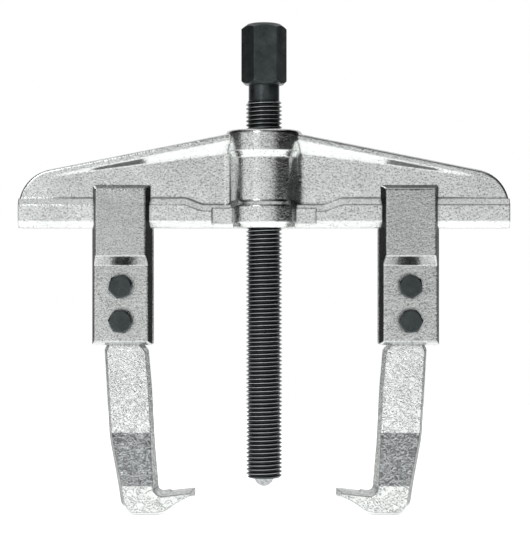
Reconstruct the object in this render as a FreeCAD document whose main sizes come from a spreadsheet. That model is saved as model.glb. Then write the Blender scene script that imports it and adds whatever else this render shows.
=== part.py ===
import FreeCAD, Part
import math
import os
import Sketcher
from FreeCAD import Placement, Rotation, Vector

# Two-arm sliding gear puller, upright on its claws. Millimetres, +X along the crossbeam, -Y is the
# bolt-head side, +Z up. The origin is on the spindle axis at the height of the claw undersides.
SIZES = {
    # crossbeam
    "beam_half_length": 148.5,
    "beam_bottom": 175.2,
    "beam_crown_half": 12.0,
    "beam_crown_top": 234.1,
    "beam_end_top": 206.8,
    "beam_depth": 22.0,
    "beam_corner_radius": 23.0,
    "beam_edge_round": 1.2,
    "flange_depth": 28.4,
    "flange_flare": 49.1,
    "ledge_top": 193.0,
    "ledge_rise": 3.7,
    "ledge_dip": 3.9,
    "ledge_dip_outer": 47.0,
    "ledge_dip_inner": 37.0,
    "flange_step_half": 31.5,
    "flange_step_depth": 1.6,
    "rim_height": 4.3,
    "rim_slope": 1.36,
    "recess_outer": 129.0,
    "recess_inner": 20.0,
    "recess_depth": 5.2,
    # hub of the crossbeam
    "hub_top": 234.6,
    "hub_band_radius": 23.1,
    "hub_waist_radius": 21.4,
    "hub_upper_band": 221.6,
    "hub_upper_waist": 218.2,
    "hub_lower_waist": 191.4,
    "hub_lower_band": 188.6,
    "hub_edge_round": 2.0,
    "hub_blend_radius": 6.0,
    # spindle
    "screw_radius": 11.0,
    "screw_pitch": 2.5,
    "screw_bottom": 23.1,
    "screw_top": 253.0,
    "screw_chamfer": 1.5,
    "thread_gap": 0.2,
    "neck_radius": 9.4,
    "drive_bottom": 262.8,
    "drive_top": 300.1,
    "drive_flats": 24.0,
    "drive_turn": 3.8,
    "drive_crown_drop": 3.4,
    "drive_crown_radius": 10.2,
    "drive_base_drop": 2.2,
    # thrust ball
    "ball_radius": 6.05,
    "ball_centre": 23.75,
    "ball_gap": 0.1,
    # cheeks that ride on the crossbeam
    "cheek_half_width": 18.2,
    "cheek_inner": 7.5,
    "cheek_block_depth": 16.0,
    "cheek_plate_depth": 10.0,
    "cheek_flare": 11.5,
    "cheek_bottom": 104.2,
    "cheek_top": 201.9,
    "cheek_block_bottom": 158.1,
    "cheek_slope_bottom": 152.7,
    "cheek_edge_round": 1.2,
    "slide_gap": 0.25,
    # hooks
    "hook_top": 173.4,
    "hook_half_depth": 7.5,
    "claw_half_depth": 11.5,
    "claw_land_root_z": 14.828,
    "claw_land_tip_z": 17.0,
    "hook_flare": 14.0,
    "claw_swell_top": 51.0,
    "claw_swell_bottom": 19.0,
    # clamping bolts
    "left_arm": -86.0,
    "right_arm": 88.0,
    "upper_bolt": 139.8,
    "lower_bolt": 118.9,
    "bolt_radius": 4.0,
    "bolt_hole_radius": 4.25,
    "bolt_length": 45.0,
    "bolt_pitch": 1.25,
    "bolt_threaded": 12.0,
    "bolt_flats": 13.0,
    "bolt_head_height": 5.3,
    "nut_height": 6.5,
    "nut_bore_radius": 4.1,
    "washer_radius": 7.1,
    "washer_bore_radius": 4.2,
    "washer_height": 2.0,
    "washer_slit": 1.2,
}

doc = FreeCAD.newDocument("gear_puller")
dims = doc.addObject("Spreadsheet::Sheet", "dims")
for row, (alias, number) in enumerate(SIZES.items(), start=1):
    dims.set(f"A{row}", alias.replace("_", " "))
    dims.set(f"B{row}", str(number))
    dims.setAlias(f"B{row}", alias)
doc.recompute()


class Size:
    """A length or angle: its number now, and the expression over the sheet that gives it."""

    def __init__(self, value, text):
        self.value = value
        self.text = text

    def __add__(self, other):
        other = as_size(other)
        return Size(self.value + other.value, f"({self.text} + {other.text})")

    def __sub__(self, other):
        other = as_size(other)
        return Size(self.value - other.value, f"({self.text} - {other.text})")

    def __mul__(self, other):
        other = as_size(other)
        return Size(self.value * other.value, f"({self.text} * {other.text})")

    def __truediv__(self, other):
        other = as_size(other)
        return Size(self.value / other.value, f"({self.text} / {other.text})")

    def __neg__(self):
        return Size(-self.value, f"(0 - {self.text})")


def as_size(item):
    if isinstance(item, Size):
        return item
    return Size(float(item), repr(round(float(item), 6)))


def size(alias):
    return Size(SIZES[alias], f"dims.{alias}")


def bind(feature, name, item):
    item = as_size(item)
    setattr(feature, name, item.value)
    feature.setExpression(name, item.text)


def new_body(name):
    body = doc.addObject("PartDesign::Body", name)
    body.Label = name
    return body


def new_sketch(body, name, role, offset=0):
    """A sketch on one of the body's own origin planes, moved along that plane's normal."""
    sketch = body.newObject("Sketcher::SketchObject", f"{body.Name}_{name}")
    for feature in body.Origin.OriginFeatures:
        if feature.Role == role:
            sketch.AttachmentSupport = (feature, [""])
    sketch.MapMode = "FlatFace"
    offset = as_size(offset)
    sketch.AttachmentOffset = Placement(Vector(0, 0, offset.value), Rotation())
    sketch.setExpression("AttachmentOffset.Base.z", offset.text)
    return sketch


def pin(sketch, line, x, y):
    """Hold the start of a line at x, y from the sketch's origin."""
    for kind, item, axis in (("DistanceX", as_size(x), -2), ("DistanceY", as_size(y), -1)):
        if abs(item.value) < 1e-9:
            sketch.addConstraint(Sketcher.Constraint("PointOnObject", line, 1, axis))
            continue
        if item.value > 0:
            rule = Sketcher.Constraint(kind, -1, 1, line, 1, item.value)
        else:
            rule = Sketcher.Constraint(kind, line, 1, -1, 1, -item.value)
            item = -item
        index = sketch.addConstraint(rule)
        sketch.setExpression(f"Constraints[{index}]", item.text)


def polygon(sketch, points):
    """A closed polygon whose corners follow the sheet."""
    first = sketch.GeometryCount
    spots = [Vector(as_size(x).value, as_size(y).value, 0) for x, y in points]
    count = len(spots)
    for index, spot in enumerate(spots):
        sketch.addGeometry(Part.LineSegment(spot, spots[(index + 1) % count]), False)
    for index in range(count):
        after = (index + 1) % count
        sketch.addConstraint(Sketcher.Constraint("Coincident", first + index, 2, first + after, 1))
    for index, (x, y) in enumerate(points):
        pin(sketch, first + index, x, y)


def circle(sketch, radius, x=0, y=0):
    radius, x, y = as_size(radius), as_size(x), as_size(y)
    spot = Vector(x.value, y.value, 0)
    ring = sketch.addGeometry(Part.Circle(spot, Vector(0, 0, 1), radius.value), False)
    index = sketch.addConstraint(Sketcher.Constraint("Radius", ring, radius.value))
    sketch.setExpression(f"Constraints[{index}]", radius.text)
    for kind, item, axis in (("DistanceX", x, -2), ("DistanceY", y, -1)):
        if abs(item.value) < 1e-9:
            sketch.addConstraint(Sketcher.Constraint("PointOnObject", ring, 3, axis))
        else:
            index = sketch.addConstraint(Sketcher.Constraint(kind, -1, 1, ring, 3, item.value))
            sketch.setExpression(f"Constraints[{index}]", item.text)


def outline(sketch, corners):
    """A closed outline of straight runs, each corner (x, y, radius) rounded by its own radius."""
    count = len(corners)
    runs = []
    for index in range(count):
        before = Vector(*corners[index - 1][:2], 0)
        here = Vector(*corners[index][:2], 0)
        after = Vector(*corners[(index + 1) % count][:2], 0)
        radius = corners[index][2]
        if radius == 0:
            runs.append((here, None, here))
            continue
        towards = (before - here).normalize()
        away = (after - here).normalize()
        half_angle = towards.getAngle(away) / 2
        reach = radius / math.tan(half_angle)
        start = here + towards * reach
        end = here + away * reach
        middle_way = (towards + away).normalize()
        centre = here + middle_way * (radius / math.sin(half_angle))
        runs.append((start, centre - middle_way * radius, end))
    for index, (start, middle, end) in enumerate(runs):
        if middle is not None:
            sketch.addGeometry(Part.Arc(start, middle, end), False)
        following = runs[(index + 1) % count][0]
        if end.distanceToPoint(following) > 1e-6:
            sketch.addGeometry(Part.LineSegment(end, following), False)


def pad(body, sketch, name, length, flare=0, symmetric=False, backward=False):
    feature = body.newObject("PartDesign::Pad", f"{body.Name}_{name}")
    feature.Profile = sketch
    bind(feature, "Length", length)
    feature.Midplane = symmetric
    feature.Reversed = backward
    if flare:
        bind(feature, "TaperAngle", -flare)
    doc.recompute()
    return feature


def cut(body, sketch, name, length, flare=0, symmetric=False, backward=False):
    """A pocket that must take something away."""
    before = body.Shape.Volume
    feature = body.newObject("PartDesign::Pocket", f"{body.Name}_{name}")
    feature.Profile = sketch
    bind(feature, "Length", length)
    feature.Midplane = symmetric
    feature.Reversed = backward
    if flare:
        bind(feature, "TaperAngle", -flare)
    doc.recompute()
    if feature.Shape.Volume > before - 0.1:
        raise ValueError(f"{feature.Name} cuts nothing")
    return feature


def turned(body, sketch, name, kind="PartDesign::Revolution"):
    feature = body.newObject(kind, f"{body.Name}_{name}")
    feature.Profile = sketch
    feature.ReferenceAxis = (sketch, ["V_Axis"])
    feature.Angle = 360
    doc.recompute()
    return feature


def rounded(body, name, radius, chosen):
    """Round the edges of the body's tip for which chosen(edge) holds."""
    base = body.Tip
    names = [f"Edge{n}" for n, edge in enumerate(base.Shape.Edges, start=1) if chosen(edge)]
    if not names:
        raise ValueError(f"{name} finds no edge")
    feature = body.newObject("PartDesign::Fillet", f"{body.Name}_{name}")
    feature.Base = (base, names)
    bind(feature, "Radius", radius)
    doc.recompute()
    return feature


def helical_groove(body, name, pitch, profile, start, turns):
    """Cut a right-hand thread. profile gives (radius, half width) pairs of the groove; start is its
    mid-height where it crosses +X."""
    sketch = new_sketch(body, f"{name}_profile", "XZ_Plane")
    lower = [(radius, start - half) for radius, half in profile]
    upper = [(radius, start + half) for radius, half in reversed(profile)]
    polygon(sketch, lower + upper)
    feature = body.newObject("PartDesign::SubtractiveHelix", f"{body.Name}_{name}")
    feature.Profile = sketch
    feature.ReferenceAxis = (sketch, ["V_Axis"])
    feature.Mode = 0
    bind(feature, "Pitch", pitch)
    bind(feature, "Height", pitch * turns)
    feature.LeftHanded = False
    feature.Reversed = False
    doc.recompute()
    return feature


def hexagon(across_flats, turn_degrees=0.0):
    """Corners of a hexagon about the origin, with a flat facing -Y before it is turned."""
    corner = across_flats / math.sqrt(3)
    spots = []
    for index in range(6):
        angle = math.radians(60 * index + turn_degrees)
        spots.append((corner * math.cos(angle), corner * math.sin(angle)))
    return spots


# thread form shared by the spindle and the hub
pitch = size("screw_pitch")
thread_depth = pitch * 0.6134
root_radius = size("screw_radius") - thread_depth
crest_half = pitch / 16
flank = math.tan(math.radians(30))
CLEAR_OUTSIDE = 0.4


def build_crossbeam():
    body = new_body("crossbeam")
    half = size("beam_half_length")
    bottom = size("beam_bottom")
    crown = size("beam_crown_half")
    crown_top = size("beam_crown_top")
    end_top = size("beam_end_top")
    depth = size("beam_depth")
    ledge = size("ledge_top")

    # web: thinnest at the hub, widening to the full depth near the ends
    thin = depth / 2 - size("recess_depth")
    near = size("recess_inner")
    far = size("recess_outer")
    plan = new_sketch(body, "web_plan", "XY_Plane", bottom)
    polygon(plan, [(-half, -depth / 2), (-far, -depth / 2), (-near, -thin), (near, -thin),
                   (far, -depth / 2), (half, -depth / 2), (half, depth / 2), (far, depth / 2),
                   (near, thin), (-near, thin), (-far, depth / 2), (-half, depth / 2)])
    pad(body, plan, "web", crown_top - bottom)

    # full depth below the ledge, which dips towards the hub
    ledge_foot = ledge + 0.05
    dip_foot = ledge_foot - size("ledge_dip")
    dip_outer = size("ledge_dip_outer")
    dip_inner = size("ledge_dip_inner")
    foot = new_sketch(body, "foot_view", "XZ_Plane")
    polygon(foot, [(-half, bottom), (half, bottom), (half, ledge_foot), (dip_outer, ledge_foot),
                   (dip_inner, dip_foot), (-dip_inner, dip_foot), (-dip_outer, ledge_foot),
                   (-half, ledge_foot)])
    pad(body, foot, "foot", depth, symmetric=True)

    # top rims follow the slope from the crown down to the ends
    drop = (crown_top - end_top) / (half - crown)
    wedge_half = thin - 1.5
    wedge_drop = (depth / 2 - wedge_half) * size("rim_slope")
    for way, side in ((1, "right"), (-1, "left")):
        section = new_sketch(body, f"{side}_rim_section", "YZ_Plane", crown * way)
        under = crown_top - size("rim_height")
        polygon(section, [(-depth / 2, crown_top), (-depth / 2, under), (-wedge_half, under - wedge_drop),
                          (wedge_half, under - wedge_drop), (depth / 2, under), (depth / 2, crown_top)])
        rim = body.newObject("PartDesign::Pad", f"{body.Name}_{side}_rim")
        rim.Profile = section
        rim.UseCustomVector = True
        rim.Direction = Vector(way, 0, -drop.value)
        rim.AlongSketchNormal = True
        bind(rim, "Length", half - crown)
        doc.recompute()
    above = new_sketch(body, "above_view", "XZ_Plane")
    for way in (1, -1):
        polygon(above, [(crown * way, crown_top), ((half + 10) * way, end_top - drop * 10),
                        ((half + 10) * way, crown_top + 5), (crown * way, crown_top + 5)])
    cut(body, above, "sloped_top", depth * 2, symmetric=True)

    def end_corner(edge):
        box = edge.BoundBox
        at_end = abs(abs(box.Center.x) - half.value) < 0.01
        return at_end and abs(box.Center.z - end_top.value) < 0.01 and box.YLength > 20

    def upper_outline(edge):
        box = edge.BoundBox
        on_side = box.YLength < 0.01 and abs(abs(box.Center.y) - depth.value / 2) < 0.01
        slope_here = crown_top.value - drop.value * (abs(box.Center.x) - crown.value)
        on_slope = box.XLength > 3 and abs(box.Center.z - slope_here) < 0.1
        on_corner = edge.Curve.TypeId == "Part::GeomCircle" and box.XLength > 3
        return on_side and (on_slope or on_corner)

    rounded(body, "end_corners", size("beam_corner_radius"), end_corner)
    rounded(body, "upper_edges", size("beam_edge_round"), upper_outline)

    add_flanges(body)
    add_hub(body)
    add_bore(body)
    return body


def add_flanges(body):
    """The wider band along the bottom, front and back, whose top edge dips towards the hub."""
    half = size("beam_half_length")
    bottom = size("beam_bottom")
    depth = size("beam_depth")
    ledge = size("ledge_top")
    outer = SIZES["ledge_dip_outer"]
    inner = SIZES["ledge_dip_inner"]
    dipped = SIZES["ledge_top"] - SIZES["ledge_dip"]
    end = half.value + 8
    step_half = SIZES["flange_step_half"]
    rise = size("flange_depth") / 2 - depth / 2
    for side, sign in (("front", 1), ("back", -1)):
        flange = new_sketch(body, f"{side}_flange_view", "XZ_Plane", depth * (sign / 2))
        outline(flange, [(-end, bottom.value, 5), (end, bottom.value, 5), (end, ledge.value, 5),
                         (outer, ledge.value, 10), (inner, dipped, 10), (-inner, dipped, 10),
                         (-outer, ledge.value, 10), (-end, ledge.value, 5)])
        pad(body, flange, f"{side}_flange", rise, flare=size("flange_flare"), backward=sign < 0)
        step = new_sketch(body, f"{side}_step", "XZ_Plane", size("flange_depth") * (sign / 2))
        polygon(step, [(-step_half, bottom - 3), (step_half, bottom - 3), (step_half, ledge),
                       (-step_half, ledge)])
        cut(body, step, f"{side}_flange_step", size("flange_step_depth"), backward=sign < 0)
    ends = new_sketch(body, "end_planes", "XZ_Plane")
    for sign in (1, -1):
        polygon(ends, [(half * sign, bottom - 2), ((half + 12) * sign, bottom - 2),
                       ((half + 12) * sign, ledge + 4), (half * sign, ledge + 4)])
    cut(body, ends, "square_ends", 60, symmetric=True)


def add_hub(body):
    """Two raised bands with a waist between them, blended into the web."""
    bottom = size("beam_bottom")
    band = SIZES["hub_band_radius"]
    waist = SIZES["hub_waist_radius"]
    edge_round = SIZES["hub_edge_round"]
    hub = new_sketch(body, "hub_profile", "XZ_Plane")
    outline(hub, [(0, bottom.value, 0), (band - 1.4, bottom.value, 0), (band, bottom.value + 3.2, 1.5),
                  (band, SIZES["hub_lower_band"], 1.0), (waist, SIZES["hub_lower_waist"], 1.5),
                  (waist, SIZES["hub_upper_waist"], 2.0), (band, SIZES["hub_upper_band"], 1.2),
                  (band, SIZES["hub_top"], edge_round), (0, SIZES["hub_top"], 0)])
    turned(body, hub, "hub")

    # concave blends where the waist meets the web
    blend = SIZES["hub_blend_radius"]
    web_half = SIZES["beam_depth"] / 2 - SIZES["recess_depth"] + 0.2
    centre_y = web_half + blend
    centre_x = math.sqrt((waist + blend) ** 2 - centre_y ** 2)
    share = waist / (waist + blend)
    touch = Vector(centre_x * share, centre_y * share, 0)
    foot = Vector(centre_x, web_half, 0)
    to_axis = Vector(-centre_x, -centre_y, 0).normalize()
    to_foot = Vector(0, -1, 0)
    middle = Vector(centre_x, centre_y, 0) + (to_axis + to_foot).normalize() * blend
    plan = new_sketch(body, "hub_plan", "XY_Plane", size("hub_lower_band") - 3)

    def mirrored(spot, sx, sy):
        return Vector(spot.x * sx, spot.y * sy, 0)

    for sx in (1, -1):
        for sy in (1, -1):
            ends = [mirrored(spot, sx, sy) for spot in (touch, middle, foot)]
            plan.addGeometry(Part.Arc(*ends), False)
        plan.addGeometry(Part.LineSegment(mirrored(foot, sx, 1), mirrored(foot, sx, -1)), False)
    for sy in (1, -1):
        plan.addGeometry(Part.LineSegment(mirrored(touch, 1, sy), mirrored(touch, -1, sy)), False)
    pad(body, plan, "hub_blends", size("hub_upper_band") - size("hub_lower_band") + 6)


def add_bore(body):
    """The threaded bore, a thread gap wider than the spindle all round."""
    gap = size("thread_gap")
    bore = root_radius + gap + 0.05
    mouth = size("screw_radius") + gap + CLEAR_OUTSIDE
    bottom = size("beam_bottom")
    top = size("hub_top")
    below = bottom - 2
    above = top + 2
    drill = new_sketch(body, "bore_profile", "XZ_Plane")
    funnel = mouth - bore
    polygon(drill, [(0, below), (mouth, below), (mouth, bottom + 0.3), (bore, bottom + 0.3 + funnel),
                    (bore, top - 0.3 - funnel), (mouth, top - 0.3), (mouth, above), (0, above)])
    turned(body, drill, "bore", kind="PartDesign::Groove")
    widen = gap.value / math.cos(math.radians(30))
    opening = bore.value - 0.3
    opening_half = crest_half.value + (SIZES["screw_radius"] - opening) * flank + widen
    deepest = SIZES["screw_radius"] + gap.value
    deepest_half = crest_half.value + widen * 0.5
    profile = [(as_size(opening), as_size(opening_half)), (as_size(deepest), as_size(deepest_half))]
    phase = thread_start() + pitch / 2
    steps = math.floor((bottom.value - 3.0 - phase.value) / pitch.value)
    turns = math.ceil((top.value - bottom.value + 6.0) / pitch.value) + 1
    helical_groove(body, "hub_thread", pitch, profile, phase + pitch * steps, turns)


def thread_start():
    """Mid-height of the spindle's groove where it crosses +X, one pitch under the spindle's end."""
    return size("screw_bottom") - pitch


def build_spindle():
    body = new_body("spindle")
    major = size("screw_radius")
    low = size("screw_bottom")
    high = size("screw_top")
    neck = size("neck_radius")
    chamfer = size("screw_chamfer")
    base = size("drive_bottom")
    top = size("drive_top")
    corner = size("drive_flats") / round(math.sqrt(3), 6)
    crown = size("drive_crown_radius")
    profile = new_sketch(body, "profile", "XZ_Plane")
    polygon(profile, [(0, low), (major - chamfer, low), (major, low + chamfer), (major, high - chamfer),
                      (neck, high), (neck, base), (corner - 2.2, base),
                      (corner, base + size("drive_base_drop")), (corner, top - size("drive_crown_drop")),
                      (crown, top - 0.5), (crown - 2, top), (0, top)])
    turned(body, profile, "blank")

    flats = new_sketch(body, "drive_flats", "XY_Plane", base - 0.5)
    polygon(flats, hexagon(SIZES["drive_flats"], SIZES["drive_turn"]))
    circle(flats, corner + 4)
    cut(body, flats, "drive", top - base + 1, backward=True)

    socket = new_sketch(body, "socket_profile", "XZ_Plane")
    centre = SIZES["ball_centre"]
    radius = SIZES["ball_radius"] + SIZES["ball_gap"]
    mouth = math.sqrt(radius ** 2 - (low.value - centre) ** 2)
    dome = Vector(0, centre + radius, 0)
    side = Vector(radius * math.cos(math.radians(30)), centre + radius * 0.5, 0)
    rim = Vector(mouth, low.value, 0)
    below_rim = Vector(mouth, low.value - 0.6, 0)
    below_dome = Vector(0, low.value - 0.6, 0)
    socket.addGeometry(Part.Arc(dome, side, rim), False)
    for start, end in ((rim, below_rim), (below_rim, below_dome), (below_dome, dome)):
        socket.addGeometry(Part.LineSegment(start, end), False)
    turned(body, socket, "socket", kind="PartDesign::Groove")

    crest_reach = SIZES["screw_radius"] + CLEAR_OUTSIDE
    profile = []
    for reach in (root_radius.value, crest_reach):
        ridge_half = crest_half.value + (SIZES["screw_radius"] - reach) * flank
        profile.append((as_size(reach), as_size(pitch.value / 2 - ridge_half)))
    turns = math.ceil((high.value - low.value) / pitch.value) + 1
    helical_groove(body, "thread", pitch, profile, thread_start(), turns)
    return body


def build_ball():
    body = new_body("thrust_ball")
    centre = SIZES["ball_centre"]
    radius = SIZES["ball_radius"]
    half_disc = new_sketch(body, "half_disc", "XZ_Plane")
    top = Vector(0, centre + radius, 0)
    foot = Vector(0, centre - radius, 0)
    half_disc.addGeometry(Part.Arc(top, Vector(radius, centre, 0), foot), False)
    half_disc.addGeometry(Part.LineSegment(foot, top), False)
    turned(body, half_disc, "ball")
    return body


def build_cheek(name, arm, front):
    """One cheek. It is drawn for the front of the crossbeam; the back one is the same turned about Z."""
    body = new_body(name)
    half = size("cheek_half_width")
    low = size("cheek_bottom")
    high = size("cheek_top")
    inner = size("cheek_inner")
    face = new_sketch(body, "front_view", "XZ_Plane", inner)
    polygon(face, [(-half, low), (half, low), (half, high), (-half, high)])
    pad(body, face, "blank", size("cheek_block_depth"))

    # all four sides lean inwards from the inner face to the outer one
    lean = math.tan(math.radians(SIZES["cheek_flare"]))
    reach = size("cheek_block_depth") + 2
    block = inner + size("cheek_block_depth")
    sides = new_sketch(body, "plan_view", "XY_Plane")
    for way in (1, -1):
        polygon(sides, [(half * way, -inner), ((half - reach * lean) * way, -block - 2),
                        ((half + 3) * way, -block - 2), ((half + 3) * way, -inner)])
    cut(body, sides, "leaning_sides", high * 3, symmetric=True)
    ends = new_sketch(body, "end_view", "YZ_Plane")
    for level, way in ((high, 1), (low, -1)):
        polygon(ends, [(-inner, level), (-block - 2, level - reach * lean * way),
                       (-block - 2, level + 3 * way), (-inner, level + 3 * way)])
    cut(body, ends, "leaning_ends", half * 4, symmetric=True)

    # the lower part is a thinner plate
    plate = inner + size("cheek_plate_depth")
    thin = new_sketch(body, "plate_view", "YZ_Plane")
    polygon(thin, [(-plate, low - 5), (-plate, size("cheek_slope_bottom")),
                   (-block, size("cheek_block_bottom")), (-block - 5, size("cheek_block_bottom")),
                   (-block - 5, low - 5)])
    cut(body, thin, "plate", half * 4, symmetric=True)

    # channel for the flange and a lip that lies over the ledge
    gap = size("slide_gap")
    flange = size("flange_depth") / 2 + gap
    web = size("beam_depth") / 2 + gap
    ledge = size("ledge_top") + gap
    channel = new_sketch(body, "channel_view", "YZ_Plane")
    polygon(channel, [(-inner + 4, size("beam_bottom") - gap), (-flange, size("beam_bottom") - gap),
                      (-flange, ledge - size("ledge_rise")), (-web, ledge), (-web, high + 5),
                      (-inner + 4, high + 5)])
    cut(body, channel, "channel", half * 4, symmetric=True)

    holes = new_sketch(body, "bolt_holes", "XZ_Plane", inner)
    for height in (size("upper_bolt"), size("lower_bolt")):
        circle(holes, size("bolt_hole_radius"), 0, height)
    cut(body, holes, "bolt_hole", size("cheek_plate_depth") + 2, backward=True)

    def outside(edge):
        box = edge.BoundBox
        in_bolt_hole = abs(box.Center.x) < 5 and box.XLength < 9
        return box.YMin < -plate.value + 0.02 and not in_bolt_hole

    rounded(body, "edges", size("cheek_edge_round"), outside)
    turn = 0 if front else 180
    body.Placement = Placement(Vector(arm, 0, 0), Rotation(Vector(0, 0, 1), turn))
    return body


def build_hook(name, arm, way):
    """One leg with its claw. way is +1 when the claw points to +X."""
    body = new_body(name)
    top = SIZES["hook_top"]
    shoulder = SIZES["cheek_bottom"]
    corners = [(-9.5, top, 3.5), (12.0, top, 3.5), (12.0, shoulder + 1.0, 1.5), (15.6, shoulder - 3.0, 3.4),
               (17.5, 79.0, 80), (19.4, 44.0, 80), (21.9, 15.2, 3.0), (44.1, 17.8, 0),
               (44.1, 11.4, 3.05), (34.8, 6.6, 14), (27.6, 1.4, 8), (21.0, 0.0, 9), (3.6, 0.0, 7),
               (-1.2, 7.0, 9), (-3.2, 20.0, 60), (-8.2, 47.5, 60), (-11.3, shoulder - 3.0, 3.4),
               (-9.5, shoulder + 1.0, 1.5)]
    for side, backward in (("front", False), ("back", True)):
        view = new_sketch(body, f"{side}_view", "XZ_Plane")
        outline(view, [(x * way, z, radius) for x, z, radius in corners])
        pad(body, view, f"{side}_half", size("claw_half_depth"), flare=size("hook_flare"),
            backward=backward)

    # the shank is thinner than the claw
    thin = size("hook_half_depth")
    thick = size("claw_half_depth")
    swell_top = size("claw_swell_top")
    swell_low = size("claw_swell_bottom")
    shank = new_sketch(body, "shank_view", "YZ_Plane")
    for sign in (1, -1):
        polygon(shank, [(thin * sign, swell_top), (thin * sign, top + 5), ((thick + 5) * sign, top + 5),
                        ((thick + 5) * sign, swell_low), (thick * sign, swell_low)])
    cut(body, shank, "shank", 200, symmetric=True)

    # the gripping land along the top of the claw is ground flat
    land = new_sketch(body, "land_view", "XZ_Plane")
    root_z = size("claw_land_root_z")
    tip_z = size("claw_land_tip_z")
    polygon(land, [(29.5 * way, root_z), (48.0 * way, tip_z), (48.0 * way, tip_z + 5),
                   (28.5 * way, root_z + 4.2)])
    cut(body, land, "land", thick * 4, symmetric=True)

    holes = new_sketch(body, "bolt_holes", "XZ_Plane")
    for height in (size("upper_bolt"), size("lower_bolt")):
        circle(holes, size("bolt_hole_radius"), 0, height)
    cut(body, holes, "bolt_hole", thick * 4, symmetric=True)
    body.Placement = Placement(Vector(arm, 0, 0), Rotation())
    return body


def hex_blank(body, height, flats, bore=None, crown_both=False):
    """A chamfered hexagon from z = 0 up to height, bored when bore is given."""
    corner = flats / round(math.sqrt(3), 6)
    drop = corner * round((1 - math.sqrt(3) / 2) * math.tan(math.radians(30)) * 1.6, 6)
    inset = flats / 2 - 0.3
    lower = [(corner, 0)]
    if crown_both:
        lower = [(inset, 0), (corner, drop)]
    profile = new_sketch(body, "head_profile", "XZ_Plane")
    inside = bore if bore is not None else as_size(0)
    polygon(profile, [(inside, 0)] + lower + [(corner, height - drop), (inset, height), (inside, height)])
    turned(body, profile, "head_blank")
    sides = new_sketch(body, "head_flats", "XY_Plane", -0.5)
    polygon(sides, hexagon(flats.value))
    circle(sides, corner + 3)
    cut(body, sides, "head", height + 1, backward=True)


def build_bolt(name, arm, height, turn):
    body = new_body(name)
    hex_blank(body, size("bolt_head_height"), size("bolt_flats"))
    radius = size("bolt_radius")
    length = size("bolt_length")
    stem = new_sketch(body, "stem_profile", "XZ_Plane")
    polygon(stem, [(0, 1), (radius, 1), (radius, -length + 0.8), (radius - 0.8, -length), (0, -length)])
    turned(body, stem, "stem")
    step = size("bolt_pitch")
    depth = SIZES["bolt_pitch"] * 0.6134
    outer = SIZES["bolt_radius"] + 0.3
    root = SIZES["bolt_radius"] - depth
    profile = [(as_size(root), as_size(SIZES["bolt_pitch"] * 0.0833)),
               (as_size(outer), as_size(SIZES["bolt_pitch"] * 0.0833 + (outer - root) * flank))]
    turns = math.ceil(SIZES["bolt_threaded"] / SIZES["bolt_pitch"])
    helical_groove(body, "thread", step, profile, -length - step, turns)
    plate_face = SIZES["cheek_inner"] + SIZES["cheek_plate_depth"]
    seat = Vector(arm, -plate_face - SIZES["washer_height"], height)
    facing = Rotation(Vector(1, 0, 0), 90).multiply(Rotation(Vector(0, 0, 1), turn))
    body.Placement = Placement(seat, facing)
    return body


def build_washer(name, arm, height, turn):
    body = new_body(name)
    ring = new_sketch(body, "ring", "XY_Plane")
    circle(ring, size("washer_radius"))
    circle(ring, size("washer_bore_radius"))
    pad(body, ring, "ring_pad", size("washer_height"))
    slit = new_sketch(body, "slit", "XY_Plane", -0.5)
    half = size("washer_slit") / 2
    beyond = size("washer_radius") + 1
    polygon(slit, [(2, -half), (beyond, -half), (beyond, half), (2, half)])
    cut(body, slit, "slit_cut", size("washer_height") + 1, backward=True)
    plate_face = SIZES["cheek_inner"] + SIZES["cheek_plate_depth"]
    facing = Rotation(Vector(1, 0, 0), 90).multiply(Rotation(Vector(0, 0, 1), turn))
    body.Placement = Placement(Vector(arm, -plate_face, height), facing)
    return body


def build_nut(name, arm, height, turn):
    body = new_body(name)
    hex_blank(body, size("nut_height"), size("bolt_flats"), bore=size("nut_bore_radius"), crown_both=True)
    plate_face = SIZES["cheek_inner"] + SIZES["cheek_plate_depth"]
    facing = Rotation(Vector(1, 0, 0), -90).multiply(Rotation(Vector(0, 0, 1), turn))
    body.Placement = Placement(Vector(arm, plate_face, height), facing)
    return body


bodies = [build_crossbeam(), build_spindle(), build_ball()]
for side, arm, way, bolt_turns in (("left", SIZES["left_arm"], 1, (16, -6)),
                                   ("right", SIZES["right_arm"], -1, (-24, 3))):
    bodies.append(build_cheek(f"{side}_front_cheek", arm, True))
    bodies.append(build_cheek(f"{side}_back_cheek", arm, False))
    bodies.append(build_hook(f"{side}_hook", arm, way))
    heights = (("upper", SIZES["upper_bolt"]), ("lower", SIZES["lower_bolt"]))
    for (place, height), turn in zip(heights, bolt_turns):
        bodies.append(build_bolt(f"{side}_{place}_bolt", arm, height, turn))
        bodies.append(build_washer(f"{side}_{place}_washer", arm, height, turn * 5))
        bodies.append(build_nut(f"{side}_{place}_nut", arm, height, turn + 11))

doc.recompute()
for item in doc.Objects:
    if "Invalid" in item.State or "Error" in item.State:
        raise ValueError(f"{item.Name} did not compute: {item.State}")

os.makedirs("parts", exist_ok=True)
for body in bodies:
    shape = body.Shape
    if shape.isNull() or not shape.isValid() or len(shape.Solids) != 1:
        raise ValueError(f"{body.Label} is not one valid solid")
    shape.exportStep(f"parts/{body.Label}.step")
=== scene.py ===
import math

import bpy
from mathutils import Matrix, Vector


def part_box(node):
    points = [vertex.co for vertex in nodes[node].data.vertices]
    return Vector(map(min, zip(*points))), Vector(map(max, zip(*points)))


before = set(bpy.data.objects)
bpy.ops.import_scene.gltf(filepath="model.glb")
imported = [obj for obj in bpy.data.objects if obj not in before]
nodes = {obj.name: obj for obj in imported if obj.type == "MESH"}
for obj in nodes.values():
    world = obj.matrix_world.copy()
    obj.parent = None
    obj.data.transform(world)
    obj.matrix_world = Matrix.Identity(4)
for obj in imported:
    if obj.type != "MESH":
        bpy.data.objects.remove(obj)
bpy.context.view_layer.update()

MM = 0.001

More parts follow.
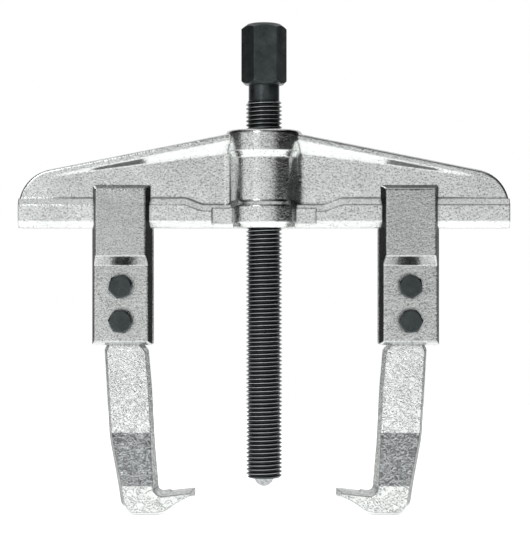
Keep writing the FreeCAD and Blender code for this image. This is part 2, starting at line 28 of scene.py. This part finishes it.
# the spindle's thread: how far its crests reach, where they start, and where the neck begins
CREST_RADIUS = 10.96 * MM
CREST_SHOULDER = 10.72 * MM
THREAD_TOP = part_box("spindle")[1].z - 47.1 * MM
THREAD_FADE = 1.0 * MM

# how near a wall has to be to count as the other side of a crease
CREASE_REACH = 2.2 * MM
# cosine between the true and the rounded normal, on a flat and right on an edge
ON_FLAT, ON_EDGE = 0.992, 0.92
# how open a spot is, out of a crease and deep in it
OUT_OF_CREASE, IN_CREASE = 0.95, 0.35

# patterns on the zinc, in repeats per millimetre
FINE_GRAIN = 1.05
COARSE_GRAIN = 0.40
SCALE_PITS = 0.62
FOLDS = 0.23
CLOUDS = 0.045

# patterns on the turned and pressed steel, in repeats per millimetre
OXIDE_MOTTLE = 0.16
OXIDE_GRAIN = 1.6
SPRING_GRAIN = 1.8
BALL_SMEAR = 0.5
BALL_SCRATCH = 2.4

WHITE = (1.0, 1.0, 1.0)
ZINC = (0.972, 1.0, 0.982)
# bright steel for the painted highlight and the wear on the oxide
RUBBED_AND_HIGHLIT_STEEL = (0.95, 1.0, 1.02)


def grey(level, tint=WHITE):
    return tuple(level * part for part in tint)


# ---------------------------------------------------------------- node helpers
class Graph:
    """Small helper that builds a material's or the world's node tree."""

    def __init__(self, tree):
        self.tree = tree
        tree.nodes.clear()

    def add(self, kind, **values):
        made = self.tree.nodes.new(kind)
        for name, value in values.items():
            setattr(made, name, value)
        return made

    def join(self, source, target):
        self.tree.links.new(source, target)

    def feed(self, socket, item):
        if isinstance(item, (int, float)):
            socket.default_value = item
        else:
            self.join(item, socket)

    def math(self, operation, *items):
        made = self.add("ShaderNodeMath", operation=operation)
        for socket, item in zip(made.inputs, items):
            self.feed(socket, item)
        return made.outputs[0]

    def noise(self, vector, scale, detail, roughness=0.5, distortion=0.0):
        made = self.add("ShaderNodeTexNoise")
        self.join(vector, made.inputs["Vector"])
        made.inputs["Scale"].default_value = scale
        made.inputs["Detail"].default_value = detail
        made.inputs["Roughness"].default_value = roughness
        made.inputs["Distortion"].default_value = distortion
        return made.outputs["Fac"]

    def cells(self, vector, scale):
        made = self.add("ShaderNodeTexVoronoi")
        self.join(vector, made.inputs["Vector"])
        made.inputs["Scale"].default_value = scale
        return made.outputs["Distance"]

    def ramp(self, factor, *stops):
        """Colours by their place along the factor, with straight blends between them."""
        made = self.add("ShaderNodeValToRGB")
        points = made.color_ramp.elements
        while len(points) < len(stops):
            points.new(0.5)
        for point, (place, colour) in zip(points, stops):
            point.position = place
            point.color = (*colour, 1.0)
        self.join(factor, made.inputs["Fac"])
        return made.outputs["Color"]

    def grey_ramp(self, factor, *stops):
        return self.ramp(factor, *[(place, grey(level)) for place, level in stops])

    def spread(self, factor, low, high, new_low, new_high):
        """The stretch from low to high, mapped to new_low to new_high and held at its ends."""
        made = self.add("ShaderNodeMapRange", clamp=True)
        self.join(factor, made.inputs["Value"])
        ends = (("From Min", low), ("From Max", high), ("To Min", new_low), ("To Max", new_high))
        for name, value in ends:
            made.inputs[name].default_value = value
        return made.outputs["Result"]

    def blend(self, factor, first, second, mode="MIX"):
        made = self.add("ShaderNodeMix", data_type="RGBA", blend_type=mode)
        self.feed(made.inputs["Factor"], factor)
        for socket, item in ((made.inputs["A"], first), (made.inputs["B"], second)):
            if isinstance(item, tuple):
                socket.default_value = (*item, 1.0)
            else:
                self.join(item, socket)
        return made.outputs["Result"]

    def times(self, first, second):
        """Two colours multiplied."""
        return self.blend(1.0, first, second, "MULTIPLY")

    def grey_of(self, value):
        made = self.add("ShaderNodeCombineColor")
        for socket in made.inputs:
            self.join(value, socket)
        return made.outputs["Color"]

    def split(self, vector):
        made = self.add("ShaderNodeSeparateXYZ")
        self.join(vector, made.inputs["Vector"])
        return made.outputs

    def bump(self, height, depth, strength, after=None):
        made = self.add("ShaderNodeBump")
        made.inputs["Strength"].default_value = strength
        made.inputs["Distance"].default_value = depth
        self.join(height, made.inputs["Height"])
        if after is not None:
            self.join(after, made.inputs["Normal"])
        return made.outputs["Normal"]


def object_space(graph):
    return graph.add("ShaderNodeTexCoord").outputs["Object"]


def millimetre_space(graph, offset=(0.0, 0.0, 0.0)):
    """Object coordinates counted in millimetres. The offset keeps two pieces from sharing a pattern."""
    scaled = graph.add("ShaderNodeMapping")
    scaled.inputs["Location"].default_value = offset
    scaled.inputs["Scale"].default_value = (1000.0, 1000.0, 1000.0)
    graph.join(object_space(graph), scaled.inputs["Vector"])
    return scaled.outputs["Vector"]


def surface(name, metallic, **sockets):
    """A material, its graph and its shader. A socket's spaces are written as underscores."""
    material = bpy.data.materials.new(name)
    material.use_nodes = True
    graph = Graph(material.node_tree)
    shader = graph.add("ShaderNodeBsdfPrincipled")
    output = graph.add("ShaderNodeOutputMaterial")
    graph.join(shader.outputs["BSDF"], output.inputs["Surface"])
    shader.inputs["Metallic"].default_value = metallic
    for label, value in sockets.items():
        shader.inputs[label.replace("_", " ")].default_value = value
    return material, graph, shader


# ---------------------------------------------------------------- masks for painted shade and highlight, and direction masks
def edge_and_crease(graph, edge_round=0.7):
    """How rounded the surface is here (0 on a flat, 1 on an edge), how enclosed (0 open, 1 deep in a
    crease), and the rounded normal. edge_round is in millimetres."""
    bevel = graph.add("ShaderNodeBevel", samples=8)
    bevel.inputs["Radius"].default_value = edge_round * MM
    true_normal = graph.add("ShaderNodeNewGeometry").outputs["True Normal"]
    agree = graph.add("ShaderNodeVectorMath", operation="DOT_PRODUCT")
    graph.join(bevel.outputs["Normal"], agree.inputs[0])
    graph.join(true_normal, agree.inputs[1])
    edge = graph.spread(agree.outputs["Value"], ON_FLAT, ON_EDGE, 0.0, 1.0)
    enclosed = graph.add("ShaderNodeAmbientOcclusion", samples=8)
    enclosed.inputs["Distance"].default_value = CREASE_REACH
    crease = graph.spread(enclosed.outputs["AO"], OUT_OF_CREASE, IN_CREASE, 0.0, 1.0)
    return edge, crease, bevel.outputs["Normal"]


def facing(graph, axis, low, high):
    """1 on faces that look along the axis either way, 0 elsewhere."""
    normal = graph.split(graph.add("ShaderNodeNewGeometry").outputs["True Normal"])
    return graph.spread(graph.math("ABSOLUTE", normal[axis]), low, high, 0.0, 1.0)


def crest_highlight_and_wear(graph):
    """1 on the spindle's thread crests, where the painted highlight and wear go, 0 in the thread's
    grooves, on the neck and on the drive.
    """
    place = graph.split(object_space(graph))
    across = graph.math("POWER", place["X"], 2.0)
    deep = graph.math("POWER", place["Y"], 2.0)
    radius = graph.math("SQRT", graph.math("ADD", across, deep))
    on_crest = graph.spread(radius, CREST_SHOULDER, CREST_RADIUS, 0.0, 1.0)
    below_neck = graph.spread(place["Z"], THREAD_TOP, THREAD_TOP + THREAD_FADE, 1.0, 0.0)
    return graph.math("MULTIPLY", on_crest, below_neck)


# ---------------------------------------------------------------- materials
def plated_forging(name, seed, level=1.0, pepper=0.36, sparkle=0.10, wrinkle=0.0, side_shade=1.0,
                   swell_shade=1.0, edge_round=0.7, edge_shade=0.5, gloss=0.0):
    """Bright zinc over a rough forging: fine sparkle, soft clouds and scale pits, with painted shade on
    its rounded edges and in its creases. level is how light the zinc is, and pepper how light its dark
    specks are beside it. sparkle and wrinkle are relief heights in millimetres. edge_shade is how much
    painted shade the edges get. side_shade sets how light the painted shade leaves the faces that look
    along X, and swell_shade the slightly tilted faces where a leg thickens. gloss is taken off the
    roughness."""
    material, graph, shader = surface(name, 1.0)
    space = millimetre_space(graph, offset=(seed * 13.7, seed * 5.1, seed * 9.3))
    fine = graph.noise(space, FINE_GRAIN, detail=3.0, roughness=0.7)
    coarse = graph.noise(space, COARSE_GRAIN, detail=4.0, roughness=0.6)
    cloud = graph.noise(space, CLOUDS, detail=3.0, roughness=0.55, distortion=0.4)
    pits = graph.cells(space, SCALE_PITS)
    edge, crease, rounded = edge_and_crease(graph, edge_round)

    speckle = graph.ramp(fine, (0.34, grey(pepper * level, ZINC)), (0.45, grey(0.84 * level, ZINC)),
                         (0.62, grey(0.98 * level, ZINC)))
    clouded = graph.grey_ramp(cloud, (0.3, 0.84), (0.7, 1.0))
    pitted = graph.grey_of(graph.spread(pits, 0.10, 0.30, 0.55, 1.0))
    colour = graph.times(graph.times(speckle, clouded), pitted)
    # painted shade: the rounded edges are darkened towards dark grey, drawn as thin dark outlines
    colour = graph.blend(graph.math("MULTIPLY", edge, edge_shade), colour, grey(0.14 * level, ZINC))
    # painted shade: creases, where another wall stands close by, are darkened
    colour = graph.blend(graph.math("MULTIPLY", crease, 0.6), colour, grey(0.12, ZINC))
    # painted shade: the faces that look along X are darkened, and what they reflect is dimmed by a grey
    # specular tint
    if side_shade < 1.0:
        sides = facing(graph, "X", 0.80, 0.93)
        colour = graph.blend(sides, colour, graph.times(speckle, grey(side_shade)))
        graph.join(graph.blend(sides, WHITE, grey(0.30)), shader.inputs["Specular Tint"])
    # painted shade: front faces tilted a few degrees up or down, where a leg thickens, are darkened and
    # cooled a little
    if swell_shade < 1.0:
        tilted = facing(graph, "Z", 0.05, 0.09)
        frontal = facing(graph, "Y", 0.93, 0.97)
        darker = graph.times(colour, grey(swell_shade, (0.98, 0.99, 1.02)))
        colour = graph.blend(graph.math("MULTIPLY", tilted, frontal), colour, darker)
    graph.join(colour, shader.inputs["Base Color"])

    grain_rough = graph.spread(coarse, 0.3, 0.7, 0.16 - gloss, 0.26 - gloss)
    cloud_rough = graph.spread(cloud, 0.3, 0.7, 0.0, 0.05)
    graph.join(graph.math("ADD", grain_rough, cloud_rough), shader.inputs["Roughness"])

    relief = graph.bump(coarse, sparkle * 1.6 * MM, 0.9, after=rounded)
    if wrinkle > 0.0:
        folds = graph.noise(space, FOLDS, detail=3.0, distortion=1.6)
        ridge = graph.math("ABSOLUTE", graph.math("SUBTRACT", folds, 0.5))
        relief = graph.bump(graph.spread(ridge, 0.0, 0.07, 0.0, 1.0), wrinkle * MM, 0.9, after=relief)
    relief = graph.bump(graph.spread(pits, 0.0, 0.5, 0.0, 1.0), 0.05 * MM, 0.6, after=relief)
    relief = graph.bump(fine, sparkle * MM, 0.9, after=relief)
    graph.join(relief, shader.inputs["Normal"])
    return material


def black_oxide(name, seed, level=1.0, threaded=False):
    """Dark blue-green oxide on turned steel, with painted shade in its grooves. A threaded piece gets a
    painted highlight, with some wear, on its crests, and any other a little on its edges."""
    material, graph, shader = surface(name, 0.9, Coat_Weight=0.2, Coat_Roughness=0.2)
    space = millimetre_space(graph, offset=(seed * 7.9, seed * 3.3, seed * 11.1))
    mottle = graph.noise(space, OXIDE_MOTTLE, detail=4.0, roughness=0.6, distortion=0.3)
    fine = graph.noise(space, OXIDE_GRAIN, detail=3.0, roughness=0.6)
    edge, crease, rounded = edge_and_crease(graph, edge_round=0.3)
    base = graph.ramp(mottle, (0.28, grey(level, (0.044, 0.054, 0.056))),
                      (0.55, grey(level, (0.064, 0.077, 0.080))),
                      (0.78, grey(level, (0.092, 0.106, 0.108))))
    # painted highlight with some wear: a threaded piece's crests and another piece's edges are
    # lightened towards bright steel, along with random specks of wear
    highlight_and_wear = crest_highlight_and_wear(graph) if threaded else graph.math("MULTIPLY", edge, 0.3)
    rubbed_and_highlit = graph.math("MAXIMUM", graph.spread(fine, 0.60, 0.78, 0.0, 0.25), highlight_and_wear)
    colour = graph.blend(rubbed_and_highlit, base, grey(0.50, RUBBED_AND_HIGHLIT_STEEL))
    # painted shade: grooves and creases are darkened nearly to black
    colour = graph.blend(graph.math("MULTIPLY", crease, 0.9), colour, (0.012, 0.013, 0.014))
    graph.join(colour, shader.inputs["Base Color"])
    mottle_rough = graph.spread(mottle, 0.3, 0.7, 0.26, 0.38)
    fine_rough = graph.spread(fine, 0.3, 0.7, -0.03, 0.05)
    graph.join(graph.math("ADD", mottle_rough, fine_rough), shader.inputs["Roughness"])
    graph.join(graph.bump(fine, 0.014 * MM, 0.6, after=rounded), shader.inputs["Normal"])
    return material


def polished_ball():
    """Bright bearing steel with fine scratches and a little grease haze."""
    material, graph, shader = surface("polished_ball", 1.0)
    space = millimetre_space(graph)
    smear = graph.noise(space, BALL_SMEAR, detail=3.0)
    scratch = graph.noise(space, BALL_SCRATCH, detail=2.0, distortion=1.5)
    colour = graph.ramp(smear, (0.3, (0.30, 0.31, 0.32)), (0.7, (0.50, 0.51, 0.52)))
    graph.join(colour, shader.inputs["Base Color"])
    graph.join(graph.spread(scratch, 0.4, 0.7, 0.06, 0.18), shader.inputs["Roughness"])
    graph.join(graph.bump(scratch, 0.004 * MM, 0.4), shader.inputs["Normal"])
    return material


def spring_steel():
    """Dull grey spring steel, with painted shade in its slit, and lighter on its edges."""
    material, graph, shader = surface("spring_steel", 1.0)
    fine = graph.noise(millimetre_space(graph), SPRING_GRAIN, detail=3.0)
    edge, crease, rounded = edge_and_crease(graph)
    colour = graph.ramp(fine, (0.3, (0.16, 0.17, 0.18)), (0.7, (0.34, 0.35, 0.36)))
    # painted shade: the slit and the creases are darkened
    colour = graph.blend(graph.math("MULTIPLY", crease, 0.8), colour, grey(0.02))
    colour = graph.blend(graph.math("MULTIPLY", edge, 0.4), colour, (0.45, 0.46, 0.47))
    graph.join(colour, shader.inputs["Base Color"])
    graph.join(graph.spread(fine, 0.3, 0.7, 0.3, 0.45), shader.inputs["Roughness"])
    graph.join(graph.bump(fine, 0.01 * MM, 0.5, after=rounded), shader.inputs["Normal"])
    return material


# ---------------------------------------------------------------- what each piece is made of
BEAM_LOOK = dict(pepper=0.5, sparkle=0.06, edge_round=1.5, edge_shade=0.25, gloss=0.06)
CHEEK_LOOK = dict(level=0.72, side_shade=0.14)
HOOK_LOOK = dict(pepper=0.5, sparkle=0.04, wrinkle=0.22, side_shade=0.95, swell_shade=0.68,
                 edge_round=0.9, edge_shade=0.9, gloss=0.05)


def dress(name, material):
    slots = nodes[name].data.materials
    slots.clear()
    slots.append(material)


dress("crossbeam", plated_forging("plated_beam", 1, **BEAM_LOOK))
for first_seed, side in ((2, "left"), (5, "right")):
    for step, face in enumerate(("front", "back")):
        zinc = plated_forging(f"plated_{side}_{face}", first_seed + step, **CHEEK_LOOK)
        dress(f"{side}_{face}_cheek", zinc)
    dress(f"{side}_hook", plated_forging(f"plated_{side}_hook", first_seed + 2, **HOOK_LOOK))
dress("spindle", black_oxide("oxide_spindle", 1, threaded=True))
dress("thrust_ball", polished_ball())
fastener_oxide = black_oxide("oxide_fasteners", 4, level=0.75)
washer_steel = spring_steel()
for side in ("left", "right"):
    for height in ("upper", "lower"):
        dress(f"{side}_{height}_bolt", fastener_oxide)
        dress(f"{side}_{height}_nut", fastener_oxide)
        dress(f"{side}_{height}_washer", washer_steel)


# ---------------------------------------------------------------- studio
def link(name, data):
    made = bpy.data.objects.new(name, data)
    bpy.context.scene.collection.objects.link(made)
    return made


def point_at(made, place, aim):
    made.location = place
    made.rotation_mode = "QUATERNION"
    made.rotation_quaternion = (Vector(aim) - Vector(place)).to_track_quat("-Z", "Y")


def floor():
    """A white floor that glows a little, so that it meets the backdrop without a line."""
    half = 0.9
    mesh = bpy.data.meshes.new("studio_floor")
    corners = [(-half, -half, 0.0), (half, -half, 0.0), (half, half, 0.0), (-half, half, 0.0)]
    mesh.from_pydata(corners, [], [(0, 1, 2, 3)])
    link("studio_floor", mesh)
    white = surface("white_floor", 0.0, Base_Color=(0.9, 0.9, 0.9, 1.0), Roughness=0.9,
                    Emission_Color=(*WHITE, 1.0), Emission_Strength=0.95)[0]
    mesh.materials.append(white)


def surroundings():
    """The camera sees white. What the metal mirrors is a studio: low on the camera's side a wide soft
    light, full on its left and dimmer to its right, with shade above it, dark walls on both sides, a
    bright wall behind the object, a light floor and a lit ceiling."""
    world = bpy.data.worlds.new("studio")
    bpy.context.scene.world = world
    world.use_nodes = True
    graph = Graph(world.node_tree)
    away = graph.split(graph.add("ShaderNodeTexCoord").outputs["Generated"])
    turn = graph.math("ARCTAN2", away["X"], graph.math("MULTIPLY", away["Y"], -1.0))
    # 0 is behind, a quarter is left, a half is the camera's side, three quarters is right, 1 is behind
    around = graph.spread(turn, -math.pi, math.pi, 0.0, 1.0)
    # 0 is straight down, a half is level, 1 is straight up
    height = graph.spread(away["Z"], -1.0, 1.0, 0.0, 1.0)

    walls = graph.grey_ramp(around, (0.0, 0.80), (0.10, 0.75), (0.13, 0.20), (0.20, 0.09), (0.28, 0.07),
                            (0.31, 1.0), (0.46, 1.0), (0.53, 0.86), (0.58, 0.62), (0.62, 0.02),
                            (0.80, 0.02), (0.87, 0.05), (0.90, 0.70), (1.0, 0.80))
    shade = graph.grey_ramp(height, (0.0, 1.0), (0.54, 1.0), (0.565, 0.16), (1.0, 0.18))
    behind = graph.grey_ramp(around, (0.0, 1.0), (0.11, 1.0), (0.15, 0.0), (0.85, 0.0), (0.89, 1.0),
                             (1.0, 1.0))
    up = graph.grey_ramp(height, (0.0, 0.0), (0.88, 0.0), (0.92, 1.0), (1.0, 1.0))
    down = graph.grey_ramp(height, (0.0, 1.0), (0.455, 1.0), (0.49, 0.0), (1.0, 0.0))
    room = graph.times(walls, graph.blend(behind, shade, WHITE))
    room = graph.blend(up, room, grey(0.72))
    room = graph.blend(down, room, grey(0.84))

    to_camera = graph.add("ShaderNodeLightPath").outputs["Is Camera Ray"]
    shader = graph.add("ShaderNodeBackground")
    graph.join(graph.blend(to_camera, room, WHITE), shader.inputs["Color"])
    output = graph.add("ShaderNodeOutputWorld")
    graph.join(shader.outputs["Background"], output.inputs["Surface"])


def key_light():
    """A soft square light high on the camera's left, aimed at the object's middle."""
    light = bpy.data.lights.new("key", "AREA")
    light.shape = "SQUARE"
    light.size = 0.5
    light.energy = 3.0
    point_at(link("key", light), place=(-0.55, -1.3, 0.75), aim=(0.0, 0.0, 0.16))


def camera():
    """A level view of the front from a little over a metre."""
    distance = 1.10
    view_width = 0.336
    across, height = 0.0006, 0.1467
    data = bpy.data.cameras.new("camera")
    data.sensor_width = 36.0
    data.lens = data.sensor_width * distance / view_width
    data.clip_start = 0.01
    data.clip_end = 100.0
    made = link("camera", data)
    point_at(made, place=(across, -distance, height), aim=(across, 0.0, height))
    bpy.context.scene.camera = made


floor()
surroundings()
key_light()
camera()
bpy.context.scene.view_settings.view_transform = "Standard"
